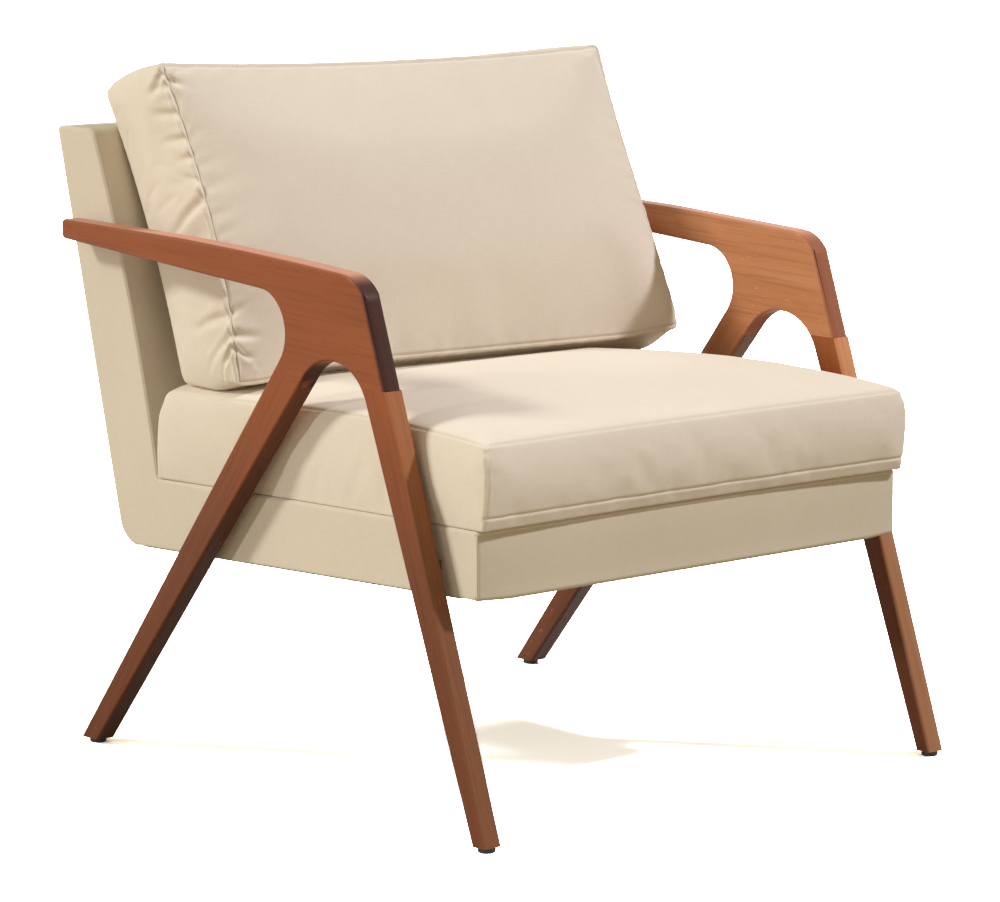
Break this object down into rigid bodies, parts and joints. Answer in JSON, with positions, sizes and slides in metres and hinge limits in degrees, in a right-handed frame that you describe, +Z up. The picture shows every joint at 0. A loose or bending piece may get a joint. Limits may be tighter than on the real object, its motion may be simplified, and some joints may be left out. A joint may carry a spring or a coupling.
{
  "type": "accent armchair",
  "caption": "Low lounge armchair with open tapered wooden side frames, an L-shaped upholstered shell and loose boxed seat and back cushions.",
  "frame": {"origin": "on the floor under the middle of the chair's overall box", "axes": "+Z up, the chair faces -Y, +X to the right of someone who looks at its front"},
  "size_m": [0.7, 0.7924, 0.7875],
  "materials": {
    "frame_wood": "satin stained hardwood",
    "inner_frame": "raw plywood",
    "linen": "beige linen-look plain weave",
    "foam": "cut polyurethane foam",
    "dust_cloth": "black spun-bonded cloth",
    "fibreboard": "thin hardboard",
    "webbing": "elastic woven strap",
    "steel": "zinc plated",
    "brass": "plain",
    "spacer": "dark brown",
    "glide": "black, flat underside"
  },
  "bodies": {
    "chair_frame": {"left_arm": "frame_wood", "right_arm": "frame_wood", "left_front_leg": "frame_wood", "right_front_leg": "frame_wood", "left_rear_leg": "frame_wood", "right_rear_leg": "frame_wood", "left_leg_dowels": "frame_wood", "right_leg_dowels": "frame_wood", "left_base_rail": "inner_frame", "right_base_rail": "inner_frame", "left_back_post": "inner_frame", "right_back_post": "inner_frame", "front_rail": "inner_frame", "seat_rear_rail": "inner_frame", "seat_brace": "inner_frame", "back_top_rail": "inner_frame", "back_lower_rail": "inner_frame", "corner_blocks": "inner_frame", "left_side_cover": "linen", "right_side_cover": "linen", "base_front_cover": "linen", "deck_cover": "linen", "inner_back_cover": "linen", "outer_back_cover": "linen", "deck_pad": "foam", "back_pad": "foam", "dust_cover": "dust_cloth", "back_board": "fibreboard", "seat_straps_long": "webbing", "seat_straps_cross": "webbing", "back_straps": "webbing", "frame_bolts": "steel", "bolt_washers": "steel", "glide_nails": "steel", "threaded_inserts": "brass", "frame_spacers": "spacer", "floor_glides": "glide"},
    "seat_cushion": {"seat_cushion_core": "foam", "seat_cushion_top": "linen", "seat_cushion_boxing": "linen", "seat_cushion_bottom": "linen"},
    "back_cushion": {"back_cushion_core": "foam", "back_cushion_front": "linen", "back_cushion_boxing": "linen", "back_cushion_rear": "linen"}
  },
  "joints": [
    {"name": "seat_cushion_lift", "type": "slide", "parent": "chair_frame", "child": "seat_cushion", "axis": [0, 0, 1], "range_m": [0, 0.3]},
    {"name": "back_cushion_lift", "type": "slide", "parent": "seat_cushion", "child": "back_cushion", "axis": [0, 0, 1], "range_m": [0, 0.3]}
  ]
}
